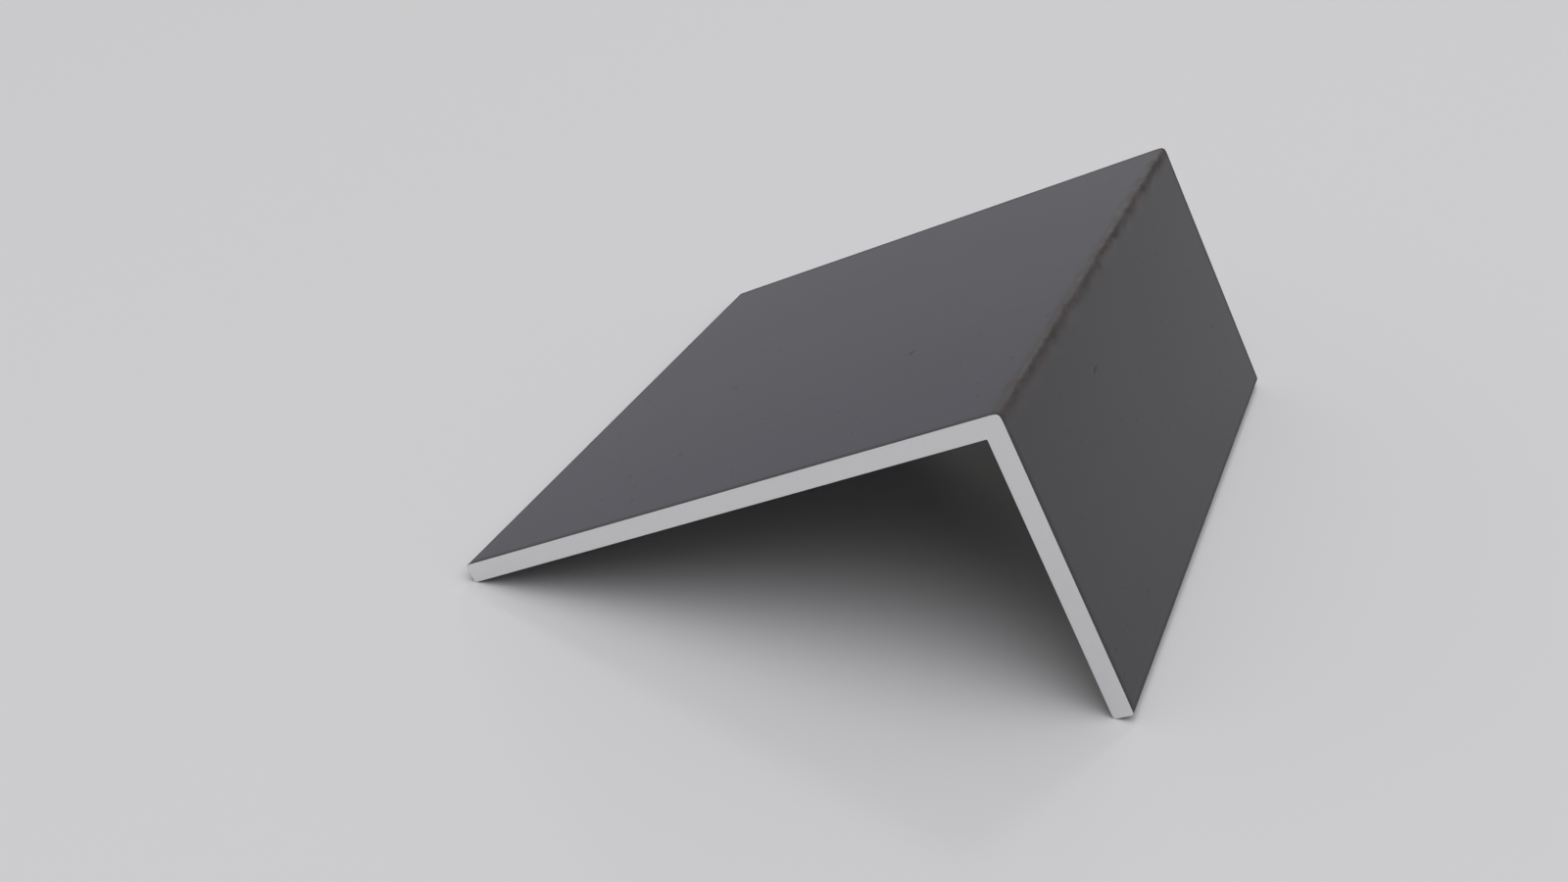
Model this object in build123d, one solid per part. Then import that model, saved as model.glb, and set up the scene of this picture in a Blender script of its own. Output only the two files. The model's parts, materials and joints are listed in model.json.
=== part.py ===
"""Cut length of unequal-leg steel angle, lying unheld on the free edges of its two legs.

One rolled piece, so one node. The section is drawn with its heel at the origin and its outer
faces along the axes, turned to the slope at which both toes touch a level floor, and swept
along its length. Millimetres, +Z up, the length along Y, the origin at the middle of the
floor patch that the piece covers.
"""
from build123d import *

import math
import os

# Driving dimensions
long_leg = 145.0      # outer width of the long leg, from the heel to its toe
short_leg = 75.0      # outer width of the short leg, from the heel to its toe
thickness = 5.0       # both legs are rolled to one thickness
length = 175.0        # between the two square-sawn ends
heel_radius = 1.0     # outer corner where the legs meet
root_radius = 0.2     # inner corner where the legs meet, rolled almost sharp
toe_radius = 0.8      # both corners of each leg's free edge


def resting_slope():
    """Degrees that the long leg drops below level once the inner corner of each toe touches down."""
    return math.degrees(math.atan2(short_leg - thickness, long_leg - thickness))


def angle_profile():
    """The L section as a face: heel at the origin, long leg along -X, short leg along -Y."""
    corner_radii = {
        (0, 0): heel_radius,
        (-long_leg, 0): toe_radius,
        (-long_leg, -thickness): toe_radius,
        (-thickness, -thickness): root_radius,
        (-thickness, -short_leg): toe_radius,
        (0, -short_leg): toe_radius,
    }
    profile = make_face(Polyline(*corner_radii, close=True))
    for corner, radius in corner_radii.items():
        profile = fillet(profile.vertices().sort_by_distance(corner)[:1], radius)
    return profile


def angle_section():
    """The finished piece, sloped onto its toes and centred over the origin."""
    sloped = Rot(0, 0, resting_slope()) * angle_profile()
    piece = extrude(Plane.XZ * sloped, length / 2, both=True)
    extent = piece.bounding_box()
    return Pos(-extent.center().X, -extent.center().Y, -extent.min.Z) * piece


os.makedirs("parts", exist_ok=True)
export_step(angle_section(), "parts/angle_section.step")
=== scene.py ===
import json
import math
from types import SimpleNamespace

import bmesh
import bpy
from bpy.props import FloatProperty, FloatVectorProperty, PointerProperty
from mathutils import Matrix, Vector, noise


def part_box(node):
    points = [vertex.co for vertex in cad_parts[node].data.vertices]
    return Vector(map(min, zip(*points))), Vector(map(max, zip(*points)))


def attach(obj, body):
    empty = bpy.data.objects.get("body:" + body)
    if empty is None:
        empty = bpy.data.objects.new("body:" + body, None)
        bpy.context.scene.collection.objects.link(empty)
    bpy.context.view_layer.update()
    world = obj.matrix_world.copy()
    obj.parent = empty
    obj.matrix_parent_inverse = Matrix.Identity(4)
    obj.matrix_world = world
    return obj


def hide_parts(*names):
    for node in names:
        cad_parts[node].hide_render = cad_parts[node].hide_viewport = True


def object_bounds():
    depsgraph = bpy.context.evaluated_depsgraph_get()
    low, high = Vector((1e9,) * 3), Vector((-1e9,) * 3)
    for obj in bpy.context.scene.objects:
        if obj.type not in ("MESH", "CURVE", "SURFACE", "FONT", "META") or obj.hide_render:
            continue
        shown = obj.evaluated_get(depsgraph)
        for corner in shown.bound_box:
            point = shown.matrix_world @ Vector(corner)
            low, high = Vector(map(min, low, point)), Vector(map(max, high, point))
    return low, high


bl_info = {
    "name": "Steel Angle Section",
    "version": (1, 0, 0),
    "blender": (4, 5, 0),
    "location": "View3D > Sidebar > Steel Angle",
    "description": "Builds a rolled steel angle with mill scale, a worn heel and sawn ends",
    "category": "Add Mesh",
}

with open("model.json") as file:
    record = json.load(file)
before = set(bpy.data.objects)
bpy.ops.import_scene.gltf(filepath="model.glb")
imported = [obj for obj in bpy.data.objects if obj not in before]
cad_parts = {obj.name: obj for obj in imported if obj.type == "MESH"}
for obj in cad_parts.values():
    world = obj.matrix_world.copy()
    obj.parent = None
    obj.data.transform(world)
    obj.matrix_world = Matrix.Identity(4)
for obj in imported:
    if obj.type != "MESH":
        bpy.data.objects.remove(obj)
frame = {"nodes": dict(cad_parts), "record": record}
CAD_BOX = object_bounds()

NODE = "angle_section"
PIECE = "rolled_angle"
MM = 0.001

END_ON = 0.9                 # a face whose normal runs along the length by this share is a sawn end
SIDEWAYS = 0.3               # a vertex whose normal points sideways by this share can wear
CREASE = math.radians(35)    # an edge that bends by more than this stays crisp


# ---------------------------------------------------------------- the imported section

def read_section():
    """Heel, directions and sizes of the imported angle, from its mounts and its mesh."""
    mounts = {mount["name"]: mount for mount in frame["record"]["mounts"]}
    long_out = Vector(mounts["long_leg_outer_face"]["axis"])
    short_out = Vector(mounts["short_leg_outer_face"]["axis"])
    on_long = Vector(mounts["long_leg_outer_face"]["pos_m"])
    on_short = Vector(mounts["short_leg_outer_face"]["pos_m"])
    inside_long = Vector(mounts["long_leg_inner_face"]["pos_m"])
    heel = long_out * on_long.dot(long_out) + short_out * on_short.dot(short_out)
    corners = [vertex.co - heel for vertex in frame["nodes"][NODE].data.vertices]
    lowest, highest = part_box(NODE)
    return SimpleNamespace(
        heel=heel,
        along_long=-short_out,
        along_short=-long_out,
        lengthwise=short_out.cross(long_out),
        long_leg=max(-corner.dot(short_out) for corner in corners),
        short_leg=max(-corner.dot(long_out) for corner in corners),
        thickness=(on_long - inside_long).dot(long_out),
        length=highest.y - lowest.y,
    )


SECTION = read_section()

# Two old knocks, one on each outer face. Each middle is the distance down the long leg, down the
# short leg and along the length, from the heel at mid length
NICK = SimpleNamespace(
    middle=Vector((40.7, 0, 29.7)) * MM, half_length=2.3 * MM, half_width=0.9 * MM,
    slant=math.radians(10),
)
SCRATCH = SimpleNamespace(
    middle=Vector((0, 17.2, 29.1)) * MM, half_length=3.3 * MM, half_width=0.8 * MM,
    slant=math.radians(-6),
)
DENTS = (NICK, SCRATCH)


# ---------------------------------------------------------------- what a user may change

class AngleShape(bpy.types.PropertyGroup):
    """Sizes of the rolled corners and of the wear and relief on the faces."""

    heel_radius: FloatProperty(
        name="Heel radius", description="Rounding of the outer corner between the legs",
        default=1.0 * MM, min=0.1 * MM, unit="LENGTH", precision=5,
    )
    root_radius: FloatProperty(
        name="Root radius", description="Rounding of the inner corner between the legs",
        default=0.2 * MM, min=0.05 * MM, unit="LENGTH", precision=5,
    )
    toe_radius: FloatProperty(
        name="Toe radius", description="Rounding of both corners of each leg's free edge",
        default=0.8 * MM, min=0.1 * MM, unit="LENGTH", precision=5,
    )
    end_break: FloatProperty(
        name="End break", description="Width of the broken edge round each sawn end",
        default=0.06 * MM, min=0.02 * MM, unit="LENGTH", precision=5,
    )
    finest_step: FloatProperty(
        name="Finest step", description="Mesh spacing across the section next to the heel",
        default=0.36 * MM, min=0.2 * MM, unit="LENGTH", precision=5,
    )
    coarsest_step: FloatProperty(
        name="Coarsest step", description="Mesh spacing across the legs far from the heel",
        default=2.0 * MM, min=0.5 * MM, unit="LENGTH", precision=5,
    )
    length_step: FloatProperty(
        name="Length step", description="Mesh spacing along the length",
        default=0.8 * MM, min=0.5 * MM, unit="LENGTH", precision=5,
    )
    rolled_wave: FloatProperty(
        name="Rolled wave", description="Depth of the slow hollows that rolling leaves",
        default=0.035 * MM, min=0.0, unit="LENGTH", precision=5,
    )
    scale_relief: FloatProperty(
        name="Scale relief", description="Depth of the finer unevenness of the mill scale",
        default=0.012 * MM, min=0.0, unit="LENGTH", precision=5,
    )
    heel_wear: FloatProperty(
        name="Heel wear", description="Greatest depth knocked off the heel",
        default=0.32 * MM, min=0.0, unit="LENGTH", precision=5,
    )
    heel_wear_reach: FloatProperty(
        name="Heel wear reach", description="How far from the heel its wear spreads",
        default=2.2 * MM, min=0.5 * MM, unit="LENGTH", precision=5,
    )
    toe_wear: FloatProperty(
        name="Toe wear", description="Greatest depth rubbed off the free edges",
        default=0.05 * MM, min=0.0, unit="LENGTH", precision=5,
    )
    dent_depth: FloatProperty(
        name="Dent depth", description="Depth of the nick and of the scratch",
        default=0.14 * MM, min=0.0, unit="LENGTH", precision=5,
    )


class AngleFinish(bpy.types.PropertyGroup):
    """Colours of the rolled faces, the heel and the sawn ends."""

    scale_grey: FloatVectorProperty(
        name="Scale grey", description="Mill scale on the short leg and inside",
        default=(0.0174, 0.0174, 0.0208), subtype="COLOR", min=0.0, max=1.0,
    )
    scale_blue: FloatVectorProperty(
        name="Scale blue", description="Bluer mill scale on the long leg's outer face",
        default=(0.0264, 0.0236, 0.0374), subtype="COLOR", min=0.0, max=1.0,
    )
    # Paler rubbed scale on the heel; its paleness is partly a painted sheen in place of the heel's
    # gloss
    worn_scale_and_sheen: FloatVectorProperty(
        name="Worn scale", description="Dull rubbed scale on the heel",
        default=(0.060, 0.055, 0.059), subtype="COLOR", min=0.0, max=1.0,
    )
    grime: FloatVectorProperty(
        name="Grime", description="Dirt along the heel and the edges",
        default=(0.012, 0.009, 0.008), subtype="COLOR", min=0.0, max=1.0,
    )
    rust: FloatVectorProperty(
        name="Rust", description="Thin rust beside the heel",
        default=(0.052, 0.033, 0.029), subtype="COLOR", min=0.0, max=1.0,
    )
    bare_steel: FloatVectorProperty(
        name="Bare steel", description="Freshly sawn ends",
        default=(0.760, 0.757, 0.767), subtype="COLOR", min=0.0, max=1.0,
    )


class AngleStage(bpy.types.PropertyGroup):
    """Floor, lamps and camera."""

    floor_colour: FloatVectorProperty(
        name="Floor", description="Colour of the floor and of the pale surroundings",
        default=(0.597, 0.597, 0.598), subtype="COLOR", min=0.0, max=1.0,
    )
    floor_reach: FloatProperty(
        name="Floor reach", description="Half the width of the floor",
        default=12.0, min=1.0, unit="LENGTH",
    )
    surround_light: FloatVectorProperty(
        name="Surround light", description="Even light from the room round the object",
        default=(0.392, 0.388, 0.414), subtype="COLOR", min=0.0, max=1.0,
    )
    top_light: FloatProperty(
        name="Top light", description="Brightness of the widest softbox, overhead",
        default=0.258, min=0.0,
    )
    front_light: FloatProperty(
        name="Front light", description="Brightness of the softbox over the near end",
        default=1.29, min=0.0,
    )
    back_light: FloatProperty(
        name="Back light", description="Brightness of both small lamps beyond the far end",
        default=15.1, min=0.0,
    )
    cool_tint: FloatVectorProperty(
        name="Cool tint", description="Colour of the softbox over the near end",
        default=(1.0, 0.988, 1.06), subtype="COLOR", min=0.0, max=2.0,
    )
    warm_tint: FloatVectorProperty(
        name="Warm tint", description="Colour of the softbox overhead and of the back lamps",
        default=(1.0, 1.01, 0.90), subtype="COLOR", min=0.0, max=2.0,
    )
    light_distance: FloatProperty(
        name="Light distance", description="From the object to each lamp",
        default=4.0, min=0.5, unit="LENGTH",
    )
    camera_distance: FloatProperty(
        name="Camera distance", description="From the aim point to the camera",
        default=0.447865, min=0.1, unit="LENGTH", precision=5,
    )
    camera_bearing: FloatProperty(
        name="Camera bearing", description="Turn of the camera round the object",
        default=math.radians(21.0871), subtype="ANGLE",
    )
    camera_rise: FloatProperty(
        name="Camera rise", description="Angle by which the camera looks down",
        default=math.radians(27.9313), subtype="ANGLE",
    )
    camera_roll: FloatProperty(
        name="Camera roll", description="Turn of the picture about the line of sight",
        default=math.radians(-0.2094), subtype="ANGLE",
    )
    camera_angle: FloatProperty(
        name="Camera angle", description="Width of the view",
        default=math.radians(45.0), subtype="ANGLE",
    )
    aim: FloatVectorProperty(
        name="Aim", description="Point that the camera looks at",
        default=(-0.011600, -0.054739, 0.035058), subtype="XYZ", unit="LENGTH",
    )


# ---------------------------------------------------------------- shape of the piece

def round_corner(mesh, place, radius, steps):
    """Rounds the outline's corner at a place."""
    corner = min(mesh.verts, key=lambda vert: (vert.co - place).length)
    bmesh.ops.bevel(
        mesh, geom=[corner], offset=radius, segments=steps, profile=0.5,
        affect="VERTICES", material=-1,
    )


def draw_outline(mesh, shape):
    """The L as one face, heel at the origin, long leg along X and short leg along Y."""
    wall, wide, narrow = SECTION.thickness, SECTION.long_leg, SECTION.short_leg
    heel, root = Vector((0, 0, 0)), Vector((wall, wall, 0))
    long_toe = [Vector((wide, 0, 0)), Vector((wide, wall, 0))]
    short_toe = [Vector((wall, narrow, 0)), Vector((0, narrow, 0))]
    outline = [heel, *long_toe, root, *short_toe]
    mesh.faces.new([mesh.verts.new(place) for place in outline])
    for place in (*long_toe, *short_toe):
        round_corner(mesh, place, shape.toe_radius, steps=4)
    round_corner(mesh, root, shape.root_radius, steps=3)
    round_corner(mesh, heel, shape.heel_radius, steps=8)


def widening_steps(start, stop, finest, coarsest):
    """Places from start to stop, close together at start and wider apart further on."""
    widening, longest_last = 1.07, 1.6
    places, step = [start], finest
    while places[-1] + longest_last * step < stop:
        places.append(places[-1] + step)
        step = min(step * widening, coarsest)
    return places + [stop]


def cut_grid(mesh, shape):
    """Cuts the outline's face across each leg, closely beside the heel and wider apart further on."""
    legs = ((Vector((1, 0, 0)), SECTION.long_leg), (Vector((0, 1, 0)), SECTION.short_leg))
    for axis, leg in legs:
        places = widening_steps(
            shape.heel_radius, leg - shape.toe_radius, shape.finest_step, shape.coarsest_step,
        )
        for place in places:
            bmesh.ops.bisect_plane(
                mesh, geom=mesh.verts[:] + mesh.edges[:] + mesh.faces[:],
                dist=0.01 * MM, plane_co=axis * place, plane_no=axis,
            )


def is_sawn_end(face):
    """Whether a face of the drawn section's solid looks along its length."""
    return abs(face.normal.z) > END_ON


def stretch_to_length(mesh, shape):
    """Extrudes the section, breaks the edges of its ends and steps its sides lengthwise."""
    half = SECTION.length / 2
    bmesh.ops.translate(mesh, verts=mesh.verts, vec=(0, 0, -half))
    grown = bmesh.ops.extrude_face_region(mesh, geom=mesh.faces[:], use_keep_orig=True)
    far = [item for item in grown["geom"] if isinstance(item, bmesh.types.BMVert)]
    bmesh.ops.translate(mesh, verts=far, vec=(0, 0, SECTION.length))
    bmesh.ops.recalc_face_normals(mesh, faces=mesh.faces)
    rims = [
        edge for edge in mesh.edges
        if sorted(is_sawn_end(face) for face in edge.link_faces) == [False, True]
    ]
    bmesh.ops.bevel(
        mesh, geom=rims, offset=shape.end_break, segments=1, profile=0.5,
        affect="EDGES", material=-1, clamp_overlap=True,
    )
    lengthwise = [
        edge for edge in mesh.edges
        if abs(edge.verts[0].co.z - edge.verts[1].co.z) > half
    ]
    cuts = round(SECTION.length / shape.length_step) - 1
    bmesh.ops.subdivide_edges(mesh, edges=lengthwise, cuts=cuts)


def fade(distance, reach):
    """1 at no distance, easing to 0 at the reach."""
    share = min(max(1 - distance / reach, 0), 1)
    return share * share * (3 - 2 * share)


def unevenness(place, size, stretch=1.0):
    """Smooth noise from 0 to 1 with lumps of a size, drawn out along the length."""
    lumps = Vector((place.x / size, place.y / size, place.z / (size * stretch)))
    return min(max(0.5 + 0.5 * noise.noise(lumps), 0), 1)


def dent_share(place, dent):
    """1 in the middle of a dent, and 0 past its border or a millimetre off its face."""
    offset = place - dent.middle
    inward = Vector((0, 1, 0)) if dent.middle.y == 0 else Vector((1, 0, 0))
    across = inward.cross(Vector((0, 0, 1)))
    slanted = across * math.sin(dent.slant) + Vector((0, 0, 1)) * math.cos(dent.slant)
    lengthwise, crosswise = offset.dot(slanted), offset.dot(slanted.cross(inward))
    reach = math.hypot(lengthwise / dent.half_length, crosswise / dent.half_width)
    off_face = abs(offset.dot(inward)) / MM
    return fade(max(reach, off_face), 1)


def worn_depth(place, shape):
    """How far below the true rolled surface the metal lies at a place."""
    depth = shape.rolled_wave * unevenness(place, size=22 * MM, stretch=2.5)
    depth += shape.scale_relief * unevenness(place, size=3.5 * MM, stretch=1.6)
    rubbed, chipped = 0.3, 1.5
    chips = unevenness(place, size=2.6 * MM, stretch=1.4)
    stretches = unevenness(place + Vector((0, 0, 1)), size=11 * MM)
    from_heel = max(place.x, place.y)
    near_heel = fade(from_heel, shape.heel_wear_reach)
    depth += shape.heel_wear * near_heel * (rubbed + chipped * chips * stretches)
    from_toe = min(SECTION.long_leg - place.x, SECTION.short_leg - place.y)
    near_toe = fade(from_toe, reach=1.5 * MM)
    depth += shape.toe_wear * near_toe * unevenness(place, size=4 * MM, stretch=1.5)
    for dent in DENTS:
        depth += shape.dent_depth * dent_share(place, dent)
    return depth


def refine_round_dents(mesh):
    """Splits the faces round each dent, so that its hollow has a shape."""
    for dent in DENTS:
        reach = 2 * dent.half_length
        edges = [
            edge for edge in mesh.edges
            if (edge.verts[0].co - dent.middle).length < reach
            and (edge.verts[1].co - dent.middle).length < reach
        ]
        bmesh.ops.subdivide_edges(mesh, edges=edges, cuts=4, use_grid_fill=True)


def wear_surface(mesh, shape):
    """Sinks the rolled faces by their wear and leaves the sawn ends flat."""
    mesh.normal_update()
    for vert in mesh.verts:
        side = Vector((vert.normal.x, vert.normal.y, 0))
        if side.length > SIDEWAYS:
            vert.co -= side.normalized() * worn_depth(vert.co, shape)


def crease_sharp_edges(mesh):
    """Shades the faces smooth and keeps the sharper edges crisp."""
    for face in mesh.faces:
        face.smooth = True
    for edge in mesh.edges:
        edge.smooth = edge.calc_face_angle(0) < CREASE


def section_to_row():
    """Matrix from the drawn section, heel at the origin, to the piece's place on the floor."""
    turned = Matrix((SECTION.along_long, SECTION.along_short, SECTION.lengthwise)).transposed()
    return Matrix.Translation(SECTION.heel) @ turned.to_4x4()


def build_angle(shape):
    """Mesh object of the whole rolled piece, in its place."""
    mesh = bmesh.new()
    draw_outline(mesh, shape)
    cut_grid(mesh, shape)
    stretch_to_length(mesh, shape)
    refine_round_dents(mesh)
    wear_surface(mesh, shape)
    for face in mesh.faces:
        face.material_index = int(is_sawn_end(face))
    bmesh.ops.transform(mesh, matrix=section_to_row(), verts=mesh.verts)
    bmesh.ops.recalc_face_normals(mesh, faces=mesh.faces)
    crease_sharp_edges(mesh)
    data = bpy.data.meshes.new(PIECE)
    mesh.to_mesh(data)
    mesh.free()
    piece = bpy.data.objects.new(PIECE, data)
    bpy.context.scene.collection.objects.link(piece)
    return piece


# ---------------------------------------------------------------- finishes

class Nodes:
    """Adds shader nodes to a tree and joins them."""

    def __init__(self, tree):
        self.tree = tree

    def feed(self, socket, value):
        """Gives an input socket a value, or joins it to an output socket."""
        if isinstance(value, bpy.types.NodeSocket):
            self.tree.links.new(value, socket)
        else:
            socket.default_value = value

    def add(self, kind, inputs=None, **settings):
        """A node of a kind, with its settings and with inputs set to values or sockets."""
        node = self.tree.nodes.new(kind)
        for name, value in settings.items():
            setattr(node, name, value)
        for name, value in (inputs or {}).items():
            self.feed(node.inputs[name], value)
        return node

    def maths(self, operation, first, second=0.0, third=0.0):
        """Result of one arithmetic step on values or sockets."""
        node = self.add("ShaderNodeMath", {0: first, 1: second, 2: third}, operation=operation)
        return node.outputs[0]

    def scaled(self, value, by, plus=0.0):
        """A value times a factor, plus an offset or a further value."""
        return self.maths("MULTIPLY_ADD", value, by, plus)

    def swing(self, value, reach):
        """A value from 0 to 1 spread evenly from minus the reach to the reach."""
        return self.scaled(value, by=2 * reach, plus=-reach)

    def strongest(self, first, *others):
        """The highest of several masks."""
        for other in others:
            first = self.maths("MAXIMUM", first, other)
        return first

    def vector(self, operation, first, second, output="Vector"):
        """Result of one vector step, as a vector or as its Value."""
        node = self.add("ShaderNodeVectorMath", {0: first, 1: second}, operation=operation)
        return node.outputs[output]

    def remap(self, value, low, high):
        """A value eased from 0 at the low end to 1 at the high end."""
        node = self.add(
            "ShaderNodeMapRange", {"Value": value, "From Min": low, "From Max": high},
            interpolation_type="SMOOTHSTEP",
        )
        return node.outputs["Result"]

    def noise(self, place, size, detail=2.0, roughness=0.5, stretch=(1, 1, 1)):
        """Noise from 0 to 1 with lumps of a size in millimetres; a plain size can be stretched."""
        if not isinstance(size, bpy.types.NodeSocket):
            size = tuple(size * part for part in stretch)
        scaled = self.vector("DIVIDE", place, size)
        node = self.add(
            "ShaderNodeTexNoise",
            {"Vector": scaled, "Scale": 1.0, "Detail": detail, "Roughness": roughness},
        )
        return node.outputs["Fac"]

    def blend(self, share, below, above, mode="MIX"):
        """Colour between two colours, by a share from 0 to 1."""
        node = self.add("ShaderNodeMix", data_type="RGBA", blend_type=mode)
        given = {socket.identifier: socket for socket in node.inputs}
        self.feed(given["Factor_Float"], share)
        self.feed(given["A_Color"], below)
        self.feed(given["B_Color"], above)
        return next(item for item in node.outputs if item.identifier == "Result_Color")

    def group(self, tree, **inputs):
        """Outputs of a shader node group that is given its own values."""
        named = {name.replace("_", " ").capitalize(): value for name, value in inputs.items()}
        return self.add("ShaderNodeGroup", named, node_tree=tree).outputs


def new_group(name, inputs, outputs):
    """An empty shader node group with named sockets; returns its nodes, inputs and outputs."""
    tree = bpy.data.node_groups.new(name, "ShaderNodeTree")
    for label, kind, default in inputs:
        socket = tree.interface.new_socket(label, in_out="INPUT", socket_type=kind)
        if default is not None:
            socket.default_value = default
    for label, kind in outputs:
        tree.interface.new_socket(label, in_out="OUTPUT", socket_type=kind)
    nodes = Nodes(tree)
    entry = nodes.add("NodeGroupInput")
    leave = nodes.add("NodeGroupOutput")
    return nodes, entry.outputs, leave.inputs


def section_place_group():
    """Where a point lies on the section, in millimetres from the heel, the toes and the ends."""
    nodes, given, result = new_group(
        "Section place",
        [("Position", "NodeSocketVector", None)],
        [
            ("Place", "NodeSocketVector"),
            ("Across heel", "NodeSocketFloat"),
            ("Below face", "NodeSocketFloat"),
            ("From toe", "NodeSocketFloat"),
            ("From end", "NodeSocketFloat"),
        ],
    )
    from_heel = nodes.vector("SUBTRACT", given["Position"], tuple(SECTION.heel))
    in_mm = nodes.vector("MULTIPLY", from_heel, (1 / MM, 1 / MM, 1 / MM))
    long_way, short_way, along = (
        nodes.vector("DOT_PRODUCT", in_mm, tuple(axis), output="Value")
        for axis in (SECTION.along_long, SECTION.along_short, SECTION.lengthwise)
    )
    place = nodes.add("ShaderNodeCombineXYZ", {"X": long_way, "Y": short_way, "Z": along})
    long_rest = nodes.maths("SUBTRACT", SECTION.long_leg / MM, long_way)
    short_rest = nodes.maths("SUBTRACT", SECTION.short_leg / MM, short_way)
    past_middle = nodes.maths("ABSOLUTE", along)
    from_end = nodes.maths("SUBTRACT", SECTION.length / MM / 2, past_middle)
    nodes.feed(result["Place"], place.outputs[0])
    nodes.feed(result["Across heel"], nodes.maths("SUBTRACT", short_way, long_way))
    nodes.feed(result["Below face"], nodes.maths("MINIMUM", long_way, short_way))
    nodes.feed(result["From toe"], nodes.maths("MINIMUM", long_rest, short_rest))
    nodes.feed(result["From end"], from_end)
    return nodes.tree


def ragged_band_group():
    """Mask that is 1 at an edge and fades out at a reach, with a wavering border."""
    nodes, given, result = new_group(
        "Ragged band",
        [
            ("Place", "NodeSocketVector", None),
            ("Distance", "NodeSocketFloat", 0.0),
            ("Reach", "NodeSocketFloat", 1.0),
            ("Softness", "NodeSocketFloat", 1.0),
            ("Waver", "NodeSocketFloat", 0.5),
            ("Waver size", "NodeSocketFloat", 3.0),
        ],
        [("Mask", "NodeSocketFloat")],
    )
    lumps = nodes.noise(given["Place"], given["Waver size"], detail=3.0)
    moved = nodes.scaled(nodes.swing(lumps, reach=2.0), by=given["Waver"], plus=given["Distance"])
    inside = nodes.maths("SUBTRACT", given["Reach"], given["Softness"])
    nodes.feed(result["Mask"], nodes.remap(moved, low=given["Reach"], high=inside))
    return nodes.tree


def patches_group():
    """Mask of scattered ragged patches of a size; the cover sets how much they fill."""
    nodes, given, result = new_group(
        "Patches",
        [
            ("Place", "NodeSocketVector", None),
            ("Size", "NodeSocketFloat", 5.0),
            ("Cover", "NodeSocketFloat", 0.5),
            ("Softness", "NodeSocketFloat", 0.1),
        ],
        [("Mask", "NodeSocketFloat")],
    )
    lumps = nodes.noise(given["Place"], given["Size"], detail=3.0)
    level = nodes.maths("SUBTRACT", 1.0, given["Cover"])
    low = nodes.maths("SUBTRACT", level, given["Softness"])
    high = nodes.maths("ADD", level, given["Softness"])
    nodes.feed(result["Mask"], nodes.remap(lumps, low, high))
    return nodes.tree


def spot_group():
    """Mask of one soft oval spot about a place."""
    nodes, given, result = new_group(
        "Spot",
        [
            ("Place", "NodeSocketVector", None),
            ("Middle", "NodeSocketVector", None),
            ("Reach", "NodeSocketVector", None),
        ],
        [("Mask", "NodeSocketFloat")],
    )
    offset = nodes.vector("SUBTRACT", given["Place"], given["Middle"])
    share = nodes.vector("DIVIDE", offset, given["Reach"])
    length = nodes.vector("LENGTH", share, (0, 0, 0), output="Value")
    nodes.feed(result["Mask"], nodes.remap(length, low=1.0, high=0.2))
    return nodes.tree


def mottle_group():
    """Cloudy variation about 1, in two sizes of lump, drawn out along the length."""
    nodes, given, result = new_group(
        "Mottle",
        [
            ("Place", "NodeSocketVector", None),
            ("Broad", "NodeSocketFloat", 0.05),
            ("Fine", "NodeSocketFloat", 0.05),
        ],
        [("Factor", "NodeSocketFloat")],
    )
    broad = nodes.noise(given["Place"], size=16.0, detail=3.0, stretch=(1, 1, 1.8))
    fine = nodes.noise(given["Place"], size=0.9, detail=3.0, roughness=0.6, stretch=(1, 1, 1.5))
    total = nodes.scaled(nodes.swing(broad, reach=1.0), by=given["Broad"], plus=1.0)
    total = nodes.scaled(nodes.swing(fine, reach=1.0), by=given["Fine"], plus=total)
    nodes.feed(result["Factor"], total)
    return nodes.tree


def fine_grain_group():
    """Height of the finest grain of a steel surface, from 0 to 1."""
    nodes, given, result = new_group(
        "Fine grain",
        [("Place", "NodeSocketVector", None), ("Grain size", "NodeSocketFloat", 0.3)],
        [("Height", "NodeSocketFloat")],
    )
    nodes.feed(result["Height"], nodes.noise(given["Place"], given["Grain size"], detail=4.0))
    return nodes.tree


def make_groups():
    """The node groups that the finishes share."""
    return SimpleNamespace(
        place=section_place_group(),
        band=ragged_band_group(),
        patches=patches_group(),
        spot=spot_group(),
        mottle=mottle_group(),
        grain=fine_grain_group(),
    )


def new_material(name):
    """An empty node material with its surface shader and the object coordinates."""
    material = bpy.data.materials.new(name)
    material.use_nodes = True
    material.node_tree.nodes.clear()
    nodes = Nodes(material.node_tree)
    shader = nodes.add("ShaderNodeBsdfPrincipled")
    nodes.add("ShaderNodeOutputMaterial", {"Surface": shader.outputs["BSDF"]})
    position = nodes.add("ShaderNodeTexCoord").outputs["Object"]
    return material, nodes, shader, position


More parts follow.
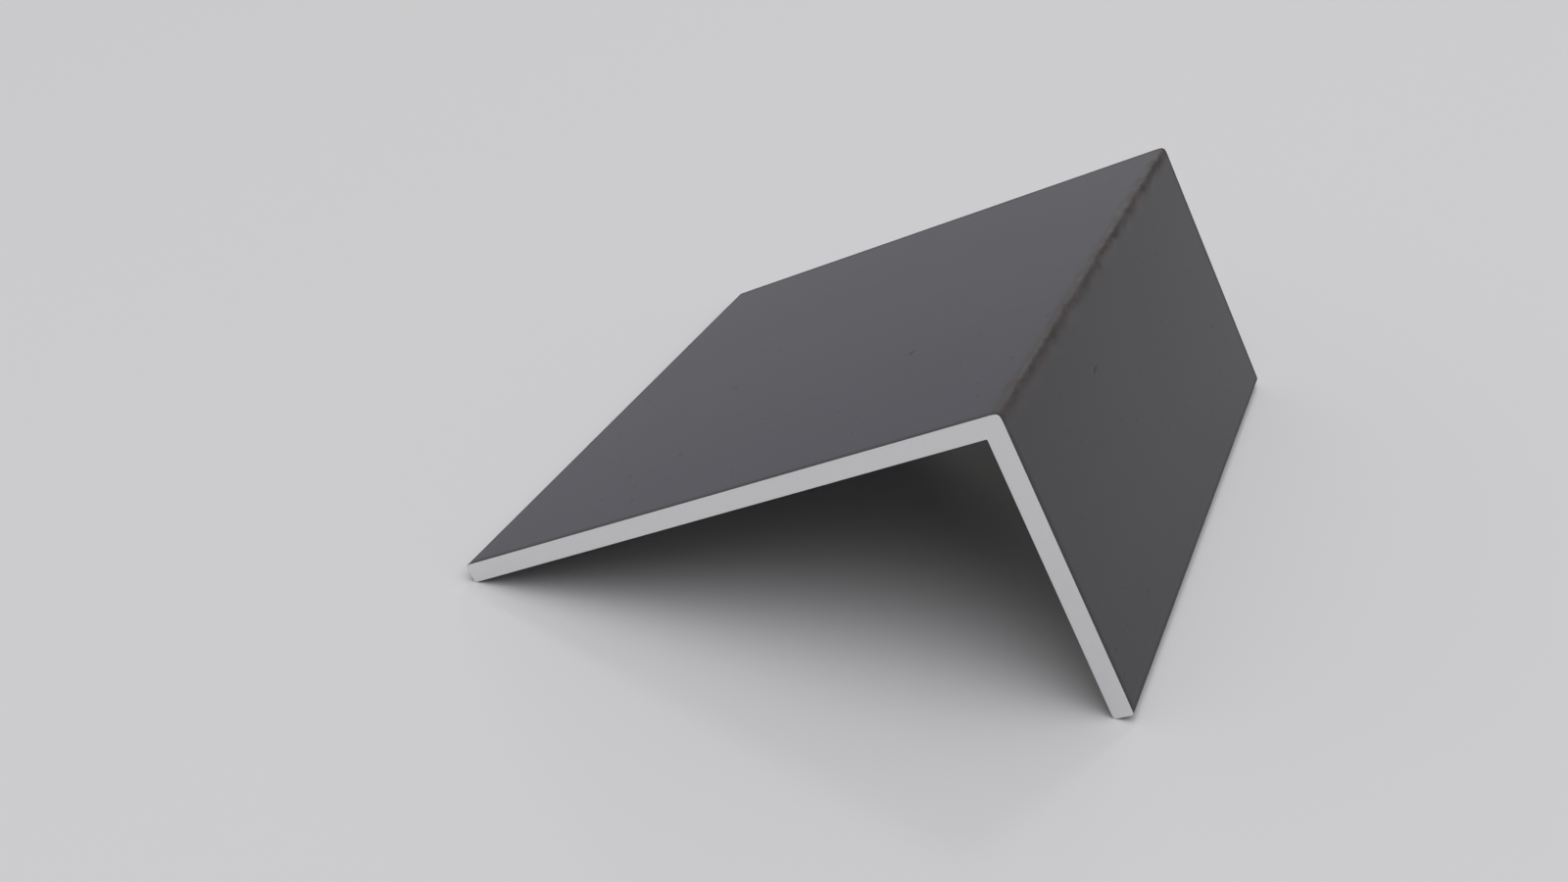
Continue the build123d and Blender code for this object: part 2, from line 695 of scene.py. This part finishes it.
def mill_scale(groups, finish):
    """Dull dark scale with dirty edges, a paler heel that is partly painted sheen, and a ragged dark
    line and thin rust along the heel.
    """
    material, nodes, shader, position = new_material("mill_scale")
    at = nodes.group(groups.place, position=position)
    place = at["Place"]

    def band(distance, **values):
        """Mask of a ragged band beside whatever the distance is from."""
        return nodes.group(groups.band, place=place, distance=distance, **values)["Mask"]

    def patches(**values):
        """Mask of scattered patches."""
        return nodes.group(groups.patches, place=place, **values)["Mask"]

    def spot(knock, reach):
        """Mask of the dirt in one knock."""
        middle = tuple(knock.middle / MM)
        return nodes.group(groups.spot, place=place, middle=middle, reach=reach)["Mask"]

    wander = nodes.swing(nodes.noise(place, size=8.5, detail=3.0), reach=2.3)
    wandering = nodes.maths("ADD", at["Across heel"], wander)

    def from_heel(middle):
        """Distance from a wandering line beside the heel, on the short leg where positive."""
        aside = nodes.maths("ABSOLUTE", nodes.maths("SUBTRACT", wandering, middle))
        return nodes.maths("ADD", aside, at["Below face"])

    # The long leg is bluer and a little paler
    on_long = nodes.remap(at["Across heel"], low=-0.5, high=-5.0)
    colour = nodes.blend(on_long, (*finish.scale_grey, 1), (*finish.scale_blue, 1))
    mottle = nodes.group(groups.mottle, place=place, broad=0.10, fine=0.08)["Factor"]
    colour = nodes.blend(1.0, colour, mottle, "MULTIPLY")

    # The heel is rubbed dull and rougher on both sides; its paler colour is partly painted sheen,
    # standing in for the gloss that the roughness takes away
    dulled_with_sheen = band(from_heel(0.4), reach=2.9, softness=2.0, waver=0.3, waver_size=3.0)
    colour = nodes.blend(dulled_with_sheen, colour, (*finish.worn_scale_and_sheen, 1))

    # Dirt where the faces meet the ends and the free edges
    to_edge = nodes.maths("MINIMUM", at["From end"], at["From toe"])
    edge = band(to_edge, reach=2.5, softness=2.5, waver=0.2, waver_size=2.2)

    # A soft shade beside the heel, and in it a ragged dark line, heavier in some stretches
    shade = band(from_heel(0.7), reach=4.6, softness=4.4, waver=0.5, waver_size=5.0)
    line = band(from_heel(0.7), reach=1.6, softness=1.0, waver=0.8, waver_size=2.2)
    stretches = nodes.scaled(patches(size=13.0, cover=0.52, softness=0.15), by=0.55, plus=0.45)
    line = nodes.scaled(nodes.maths("MULTIPLY", line, stretches), by=0.85)
    line = nodes.strongest(line, nodes.scaled(shade, by=0.35))

    # Thin brown rust in ragged patches, mostly on the short leg's side
    stain = nodes.maths(
        "MULTIPLY",
        band(from_heel(2.2), reach=3.6, softness=1.8, waver=0.9, waver_size=4.5),
        patches(size=8.0, cover=0.52, softness=0.12),
    )
    blush = nodes.maths(
        "MULTIPLY",
        band(from_heel(-1.2), reach=2.4, softness=1.4, waver=0.6, waver_size=3.0),
        patches(size=5.0, cover=0.42, softness=0.08),
    )
    stain = nodes.strongest(stain, blush)

    # Smudges scattered over the faces, and the dirt in the two knocks
    smudges = nodes.scaled(patches(size=2.6, cover=0.30, softness=0.05), by=0.5)
    knocks = nodes.strongest(spot(NICK, (0.9, 1.0, 2.0)), spot(SCRATCH, (1.0, 0.9, 2.4)))
    dirt = nodes.strongest(edge, line, smudges, nodes.scaled(knocks, by=0.6))

    colour = nodes.blend(nodes.scaled(dirt, by=0.85), colour, (*finish.grime, 1))
    colour = nodes.blend(nodes.scaled(stain, by=0.38), colour, (*finish.rust, 1))
    nodes.feed(shader.inputs["Base Color"], colour)

    grain = nodes.group(groups.grain, place=place, grain_size=0.35)["Height"]
    rough = nodes.scaled(grain, by=0.10, plus=0.36)
    rough = nodes.scaled(dirt, by=0.16, plus=rough)
    rough = nodes.scaled(dulled_with_sheen, by=0.28, plus=rough)
    nodes.feed(shader.inputs["Roughness"], rough)
    bump = nodes.add("ShaderNodeBump", {"Height": grain, "Strength": 0.15, "Distance": 0.02 * MM})
    nodes.feed(shader.inputs["Normal"], bump.outputs["Normal"])
    shader.inputs["IOR"].default_value = 1.45
    return material


def sawn_steel(groups, finish):
    """Bare pale steel with very faint saw lines."""
    material, nodes, shader, position = new_material("sawn_steel")
    place = nodes.group(groups.place, position=position)["Place"]

    mottle = nodes.group(groups.mottle, place=place, broad=0.02, fine=0.02)["Factor"]
    colour = nodes.blend(1.0, (*finish.bare_steel, 1), mottle, "MULTIPLY")
    nodes.feed(shader.inputs["Base Color"], colour)

    saw_lines = nodes.noise(place, size=0.5, detail=2.0, roughness=0.6, stretch=(40, 1, 1))
    grain = nodes.group(groups.grain, place=place, grain_size=0.25)["Height"]
    height = nodes.scaled(saw_lines, by=0.7, plus=grain)
    bump = nodes.add("ShaderNodeBump", {"Height": height, "Strength": 0.1, "Distance": 0.02 * MM})
    nodes.feed(shader.inputs["Normal"], bump.outputs["Normal"])
    nodes.feed(shader.inputs["Roughness"], nodes.scaled(grain, by=0.1, plus=0.42))
    shader.inputs["Metallic"].default_value = 1.0
    return material


def pale_floor(stage):
    """Plain matt floor."""
    material, nodes, shader, position = new_material("pale_floor")
    speckle = nodes.add("ShaderNodeTexNoise", {"Vector": position, "Scale": 400.0, "Detail": 2.0})
    rough = nodes.scaled(speckle.outputs["Fac"], by=0.05, plus=0.9)
    nodes.feed(shader.inputs["Roughness"], rough)
    shader.inputs["Base Color"].default_value = (*stage.floor_colour, 1)
    shader.inputs["Specular IOR Level"].default_value = 0.0
    return material


# ---------------------------------------------------------------- stage

def lay_floor(stage):
    """A level floor under the piece, at the height that it rests on."""
    mesh = bmesh.new()
    bmesh.ops.create_grid(mesh, x_segments=8, y_segments=8, size=stage.floor_reach)
    bmesh.ops.translate(mesh, verts=mesh.verts, vec=(0, 0, CAD_BOX[0].z))
    data = bpy.data.meshes.new("floor")
    mesh.to_mesh(data)
    mesh.free()
    floor = bpy.data.objects.new("floor", data)
    bpy.context.scene.collection.objects.link(floor)
    data.materials.append(pale_floor(stage))


def hang_lamp(stage, name, brightness, tint, spread, lean, bearing):
    """A round lamp turned to the object: half its apparent width, its lean and its side in degrees.

    The brightness is what the lamp's face shows, so a wider lamp gives more light.
    """
    radius = stage.light_distance * math.tan(math.radians(spread))
    lamp = bpy.data.lights.new(name, "AREA")
    lamp.shape = "DISK"
    lamp.size = 2 * radius
    lamp.color = tint
    lamp.energy = brightness * math.pi * math.pi * radius ** 2
    holder = bpy.data.objects.new(name, lamp)
    lean, bearing = math.radians(lean), math.radians(bearing)
    outward = Vector((
        math.sin(lean) * math.cos(bearing), math.sin(lean) * math.sin(bearing), math.cos(lean),
    ))
    holder.location = outward * stage.light_distance
    holder.rotation_euler = outward.to_track_quat("Z", "Y").to_euler()
    bpy.context.scene.collection.objects.link(holder)


def light_surroundings(stage):
    """Even light from all round, seen as a pale backdrop by the camera and in gloss."""
    world = bpy.data.worlds.new("surroundings")
    world.use_nodes = True
    world.node_tree.nodes.clear()
    nodes = Nodes(world.node_tree)
    path = nodes.add("ShaderNodeLightPath").outputs
    seen = nodes.strongest(
        path["Is Camera Ray"], path["Is Glossy Ray"], path["Is Transmission Ray"],
    )
    colour = nodes.blend(seen, (*stage.surround_light, 1), (*stage.floor_colour, 1))
    background = nodes.add("ShaderNodeBackground", {"Color": colour, "Strength": 1.0})
    nodes.add("ShaderNodeOutputWorld", {"Surface": background.outputs[0]})
    bpy.context.scene.world = world


def place_camera(stage):
    """Camera above the near end, looking down at both outer faces."""
    camera = bpy.data.cameras.new("camera")
    camera.sensor_width = 36.0
    camera.lens = camera.sensor_width / 2 / math.tan(stage.camera_angle / 2)
    camera.clip_start, camera.clip_end = 0.01, 100.0
    holder = bpy.data.objects.new("camera", camera)
    bearing, rise = stage.camera_bearing, stage.camera_rise
    back = Vector((
        math.sin(bearing) * math.cos(rise), -math.cos(bearing) * math.cos(rise), math.sin(rise),
    ))
    place = Matrix.Translation(Vector(stage.aim) + back * stage.camera_distance)
    level = back.to_track_quat("Z", "Y").to_matrix().to_4x4()
    holder.matrix_world = place @ level @ Matrix.Rotation(stage.camera_roll, 4, "Z")
    bpy.context.scene.collection.objects.link(holder)
    bpy.context.scene.camera = holder


# ---------------------------------------------------------------- operators and panel

class MESH_OT_rolled_angle(bpy.types.Operator):
    """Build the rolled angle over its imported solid, with its finishes"""

    bl_idname = "mesh.rolled_angle"
    bl_label = "Rolled Angle"

    def execute(self, context):
        """Makes the piece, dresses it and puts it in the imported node's place."""
        scene = context.scene
        piece = build_angle(scene.angle_shape)
        groups = make_groups()
        piece.data.materials.append(mill_scale(groups, scene.angle_finish))
        piece.data.materials.append(sawn_steel(groups, scene.angle_finish))
        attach(piece, "root")
        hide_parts(NODE)
        return {"FINISHED"}


class SCENE_OT_angle_stage(bpy.types.Operator):
    """Lay the floor, hang the lamps and set the camera"""

    bl_idname = "scene.angle_stage"
    bl_label = "Floor, Light and Camera"

    def execute(self, context):
        """Makes everything that isn't part of the object."""
        stage = context.scene.angle_stage
        lay_floor(stage)
        top, front, back = stage.top_light, stage.front_light, stage.back_light
        warm, cool = stage.warm_tint, stage.cool_tint
        hang_lamp(stage, "top_softbox", top, warm, spread=59, lean=15, bearing=-99)
        hang_lamp(stage, "front_softbox", front, cool, spread=33, lean=20, bearing=-48)
        hang_lamp(stage, "high_back_lamp", back, warm, spread=4, lean=38, bearing=101)
        hang_lamp(stage, "low_back_lamp", back, warm, spread=4, lean=66, bearing=101)
        light_surroundings(stage)
        place_camera(stage)
        context.scene.view_settings.view_transform = "Standard"
        return {"FINISHED"}


class VIEW3D_PT_steel_angle(bpy.types.Panel):
    """Sidebar panel with the sizes, the colours and the build steps"""

    bl_idname = "VIEW3D_PT_steel_angle"
    bl_label = "Steel Angle"
    bl_space_type = "VIEW_3D"
    bl_region_type = "UI"
    bl_category = "Steel Angle"

    def draw(self, context):
        """Lists each group of settings above the operator that uses it."""
        scene = context.scene
        steps = (
            (MESH_OT_rolled_angle, (scene.angle_shape, scene.angle_finish)),
            (SCENE_OT_angle_stage, (scene.angle_stage,)),
        )
        for operator, groups in steps:
            box = self.layout.box()
            for group in groups:
                for name in group.__annotations__:
                    box.prop(group, name)
            box.operator(operator.bl_idname)


CLASSES = (
    AngleShape, AngleFinish, AngleStage,
    MESH_OT_rolled_angle, SCENE_OT_angle_stage, VIEW3D_PT_steel_angle,
)


def register():
    """Adds the classes and the scene's settings."""
    for each in CLASSES:
        bpy.utils.register_class(each)
    bpy.types.Scene.angle_shape = PointerProperty(type=AngleShape)
    bpy.types.Scene.angle_finish = PointerProperty(type=AngleFinish)
    bpy.types.Scene.angle_stage = PointerProperty(type=AngleStage)


def unregister():
    """Takes the settings and the classes away again."""
    for name in ("angle_shape", "angle_finish", "angle_stage"):
        delattr(bpy.types.Scene, name)
    for each in reversed(CLASSES):
        bpy.utils.unregister_class(each)


def main():
    """Builds the piece and its stage."""
    register()
    bpy.ops.mesh.rolled_angle()
    bpy.ops.scene.angle_stage()


if __name__ == "__main__":
    main()
